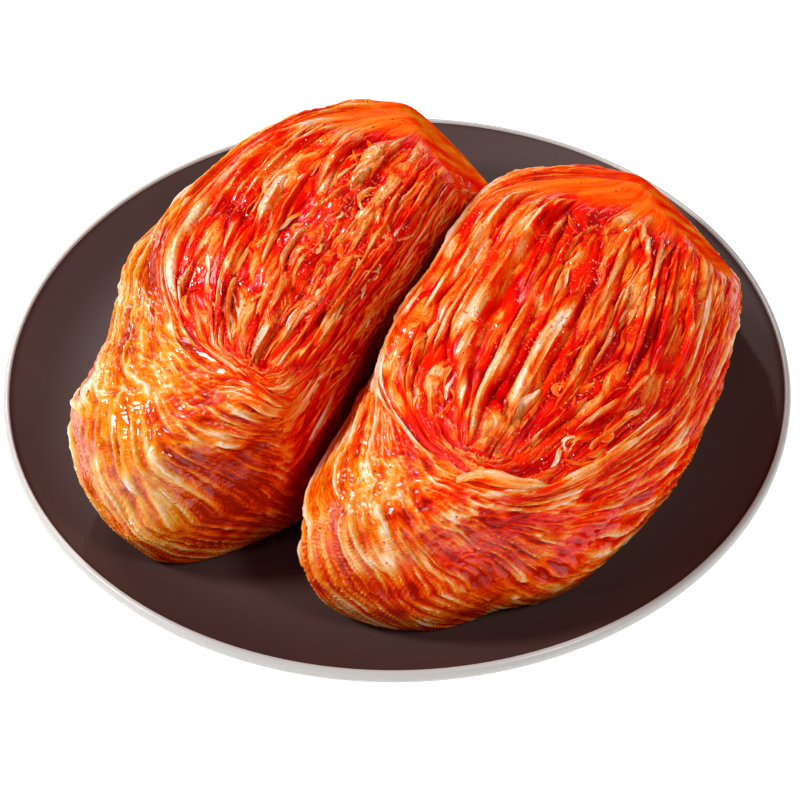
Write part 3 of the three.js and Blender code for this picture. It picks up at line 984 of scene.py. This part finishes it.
right_head["ribs"] = [
    rib((0.05, -0.80), (0.28, -0.84), (0.58, -0.87), 4.0, 0.92),
    rib((0.07, -0.48), (0.40, -0.62), (0.84, -0.38), 8.5, 0.86, 4.2),
    rib((0.14, -0.40), (0.28, -0.37), (0.44, -0.37), 2.6, 0.66),
    rib((0.42, -0.30), (0.64, -0.27), (0.92, -0.26), 4.2, 1.00, 3.6),
    rib((0.46, -0.68), (0.58, -0.70), (0.70, -0.69), 1.9, 0.98),
    rib((0.62, -0.84), (0.72, -0.79), (0.84, -0.80), 2.4, 0.84),
    rib((0.17, -0.16), (0.28, -0.24), (0.48, -0.18), 2.4, 0.80),
    rib((0.40, -0.12), (0.46, -0.12), (0.54, -0.11), 2.2, 0.80),
    rib((0.40, -0.02), (0.62, -0.06), (0.85, 0.02), 6.6, 0.92, 4.0),
    rib((0.73, 0.11), (0.79, 0.06), (0.85, 0.01), 3.2, 0.98, 3.4),
    rib((0.16, 0.10), (0.42, 0.21), (0.76, 0.33), 5.0, 0.90, 4.0),
    rib((0.10, 0.10), (0.16, 0.24), (0.24, 0.38), 5.0, 0.88),
    rib((0.34, 0.32), (0.46, 0.36), (0.62, 0.38), 2.2, 0.84),
    rib((0.14, 0.42), (0.36, 0.54), (0.60, 0.66), 2.8, 0.72),
    rib((0.56, 0.78), (0.68, 0.72), (0.79, 0.64), 3.0, 1.00, 3.6),
    rib((0.18, 0.60), (0.36, 0.70), (0.57, 0.80), 3.6, 0.64),
    rib((0.22, 0.82), (0.36, 0.90), (0.52, 0.95), 2.8, 0.68),
    rib((0.70, 0.50), (0.80, 0.44), (0.90, 0.32), 2.4, 0.70),
]
right_head["pools"] = [
    ((0.06, -0.30), (12, 7.0), -0.12), ((0.20, 0.03), (12, 3.5), -0.12), ((0.80, -0.52), (17, 2.6), -0.30),
    ((0.50, 0.66), (18, 1.3), -0.50), ((0.55, 0.47), (20, 2.4), -0.25), ((0.66, 0.92), (22, 5.0), -0.28),
    ((0.92, 0.60), (8, 7.0), -0.25), ((0.36, 0.06), (13, 2.0), -0.22), ((0.66, 0.20), (16, 1.4), -0.35),
    ((0.12, -0.92), (18, 5.0), 0.28), ((0.10, 0.00), (7, 5.0), 0.40), ((0.45, -0.58), (40, 14.0), 0.07),
    ((0.50, 0.65), (45, 12.0), 0.04),
]
right_cut_finish = leaf_material("right_wet_leaf", 0.5)
make_cut_face(right_head, "right_cut_leaves", right_cut_finish)


# Right half head, leaf scraps
# The leaves of this head lie in order, so fewer scraps are loose on it. Two thicker folds of leaf
# lie over the eye like a collar.

right_folds = [
    lip_fold((0.035, -0.03, -0.11), (1.13, 0.88, 1.00), 6.6, 1.6, 0.66, 0.1),
    lip_fold((-0.07, -0.14, -0.22), (1.02, 1.06, 1.12), 3.6, 1.4, 0.70, 0.0),
]
lay_strands(right_head, "right_leaf_scraps", scraps(right_head, 60, 9) + right_folds, right_cut_finish)


# Right half head, outer leaves
# Wrapped like the first, with more paste on them: orange and yellow at the shoulder, where the
# folds fan out, and red along the side that faces the plate's rim.

right_head["shoulder"] = 0.08
right_head["level"] = 1.06
right_head["torn"] = 0.0
right_head["olive"] = 0.16
right_head["patches"] = [
    ((0.10, 1.7), (0.06, 0.45), 0.02, 0.50, 0.4),
    ((0.07, 1.4), (0.05, 0.20), 0.14, 0.30, 0.5),
    ((0.03, 2.0), (0.05, 0.40), -0.02, 0.35, 0.2),
    ((-0.07, 1.7), (0.08, 0.50), -0.12, 0.05, 0.1),
    ((-0.20, 1.5), (0.12, 0.60), -0.08, -0.2, -0.2),
    ((-0.05, 2.4), (0.10, 0.40), -0.10, 0.20, 0.0),
    ((0.20, 2.4), (0.10, 0.60), 0.0, 0.10, 0.0),
    ((-0.34, 1.5), (0.12, 0.60), -0.04, -0.2, -0.2),
    ((0.34, 1.5), (0.12, 0.60), 0.04, 0.0, 0.0),
]
make_outer_leaves(right_head, "right_outer_leaves", leaf_material("right_glossy_leaf", 0.4))


# Chili flakes
# Coarse dried chili, ground with its seeds, sticks all over both heads. Each flake is a thin
# six-sided chip that lies nearly flat in the paste and is darker than it.

BIT_SPACING = 4.0
BIT_SLOPE = 0.05
BIT_LOWEST = 0.012


def settled(pieces, count, seed, wetness):
    """Random places on the pieces' upper faces with the outward directions there.

    They are spread by area, and the more to the wet parts the higher wetness is.
    """
    places, normals, areas = [], [], []
    for piece in pieces:
        faces = piece.data.polygons
        places.append(values_of(faces, "center", 3))
        normals.append(values_of(faces, "normal", 3))
        wet = values_of(piece.data.attributes["wet"].data, "value")
        first = values_of(faces, "loop_start", kind=np.int32)
        corner = values_of(piece.data.loops, "vertex_index", kind=np.int32)
        areas.append(values_of(faces, "area") * wet[corner[first]] ** wetness)
    places, normals, areas = (np.concatenate(part) for part in (places, normals, areas))
    weight = areas * (normals[:, 2] > BIT_SLOPE) * (places[:, 2] > BIT_LOWEST)
    pick = np.random.default_rng(seed).choice(len(places), count, p=weight / weight.sum())
    return places[pick], normals[pick]


def strew(name, pieces, doublings, seed, wetness, sizes, flatness, material, shape):
    """One piece of many bits that lie on the given pieces, each turned at random.

    shape makes one bit in a bmesh, and the bits double in number so many times.
    """
    bits = bmesh.new()
    shape(bits)
    for step in range(doublings):
        whole = bits.verts[:] + bits.edges[:] + bits.faces[:]
        copies = bmesh.ops.duplicate(bits, geom=whole)["geom"]
        added = [part for part in copies if isinstance(part, bmesh.types.BMVert)]
        bmesh.ops.translate(bits, verts=added, vec=(BIT_SPACING * 2 ** step, 0, 0))
    mesh = bpy.data.meshes.new(name)
    bits.to_mesh(mesh)
    bits.free()
    corners = values_of(mesh.vertices, "co", 3)
    bit = np.rint(corners[:, 0] / BIT_SPACING).astype(int)
    corners[:, 0] -= bit * BIT_SPACING
    draw = np.random.default_rng(seed)
    places, normals = settled(pieces, 2 ** doublings, seed, wetness)
    turned = []
    for normal in normals:
        size = draw.uniform(*sizes) * MM
        facing = Vector(normal + draw.normal(0, 0.2, 3)).to_track_quat("Z", "Y").to_matrix()
        spin = Matrix.Rotation(draw.uniform(0, 2 * math.pi), 3, "Z")
        scale = Matrix.Diagonal((size, size * draw.uniform(0.5, 0.95), size * flatness))
        turned.append(np.array(facing @ spin @ scale))
    corners = places[bit] + np.einsum("nij,nj->ni", np.array(turned)[bit], corners)
    mesh.vertices.foreach_set("co", corners.ravel())
    mesh.update()
    mesh.materials.append(material)
    piece = placed(name, mesh)
    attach(piece, "root")
    return piece


def chip(bits):
    bmesh.ops.create_cone(bits, segments=6, radius1=1.0, radius2=0.75, depth=1.0, cap_ends=True)


def lump(bits):
    bmesh.ops.create_icosphere(bits, subdivisions=1, radius=1.0)


def bit_material(name, low, high, roughness, coat):
    """A small solid bit whose colour varies from one to the next."""
    material, tree, shader = new_material(name)
    place = signal(tree, "ShaderNodeTexCoord", "Object", {})
    vary = remapped(tree, noise(tree, place, 180.0, 2.0), {"From Min": 0.3, "From Max": 0.7})
    feed(tree, shader, {"Base Color": blended(tree, vary, shade(*low), shade(*high)), "Roughness": roughness,
                        "Coat Weight": coat, "Coat Roughness": 0.08, "Specular IOR Level": 0.2})
    return material


cabbage = [bpy.data.objects[side + leaves] for side in ("left", "right")
           for leaves in ("_cut_leaves", "_outer_leaves")]
strew("chili_flakes", cabbage, 9, 21, 0, (0.25, 0.70), 0.25,
      bit_material("dried_chili", (150, 20, 2), (206, 44, 6), 0.5, 0.4), chip)


# Garlic and chili crumbs
# Minced garlic, ginger and chili from the filling lie in the paste where it is thickest. They are
# small and glassy, and catch the light.

strew("garlic_crumbs", [cabbage[0], cabbage[2]], 12, 22, 3, (0.25, 0.60), 0.7,
      bit_material("minced_garlic", (216, 30, 2), (244, 130, 60), 0.3, 1.0), lump)


# Camera, light and floor
# A white table that glows, soft lights from the left, the back and the front right, and two small
# ones that make sparks in the wet paste. The camera looks down on the plate at 46 degrees.

LENS = 85.0
CAMERA_DISTANCE = 0.720057
CAMERA_RAISE = math.radians(45.822)
CAMERA_ROLL = math.radians(-0.733)
CAMERA_TARGET = Vector((0.001172, -0.024174, 0.020))

camera_data = bpy.data.cameras.new("camera")
camera_data.lens = LENS
camera_data.sensor_width = 36.0
camera = placed("camera", camera_data)
back = Vector((0, -math.cos(CAMERA_RAISE), math.sin(CAMERA_RAISE)))
camera.location = CAMERA_TARGET + back * CAMERA_DISTANCE
camera.rotation_euler = (math.pi / 2 - CAMERA_RAISE, 0, 0)
camera.rotation_euler.rotate_axis("Z", CAMERA_ROLL)
bpy.context.scene.camera = camera


def soft_light(name, place, size, power):
    data = bpy.data.lights.new(name, "AREA")
    data.shape = "DISK"
    data.size = size
    data.energy = power
    lamp = placed(name, data)
    lamp.location = place
    lamp.rotation_euler = (-Vector(place)).to_track_quat("-Z", "Y").to_euler()


soft_light("key_light", (-0.85, -0.10, 0.85), 0.22, 11.0)
soft_light("back_light", (-0.75, 1.10, 0.85), 0.50, 6.0)
soft_light("glint_light", (-0.25, 0.85, 0.95), 0.08, 4.0)
soft_light("low_glint_light", (-0.95, -0.55, 0.42), 0.08, 2.0)
soft_light("fill_light", (0.60, -0.60, 1.05), 0.30, 8.0)

world = bpy.data.worlds.new("studio")
world.use_nodes = True
world.node_tree.nodes["Background"].inputs["Color"].default_value = (1.0, 1.0, 1.0, 1.0)
world.node_tree.nodes["Background"].inputs["Strength"].default_value = 0.10
bpy.context.scene.world = world
bpy.context.scene.view_settings.view_transform = "Standard"

table_shape = bmesh.new()
bmesh.ops.create_grid(table_shape, x_segments=1, y_segments=1, size=4.0)
table_mesh = bpy.data.meshes.new("table")
table_shape.to_mesh(table_mesh)
table_shape.free()
table = placed("table", table_mesh)
table_white, table_tree, table_shader = new_material("white_table")
feed(table_tree, table_shader, {"Base Color": (0.6, 0.6, 0.6, 1.0), "Roughness": 0.8,
                                "Emission Color": (1.0, 1.0, 1.0, 1.0), "Emission Strength": 0.85})
table_mesh.materials.append(table_white)
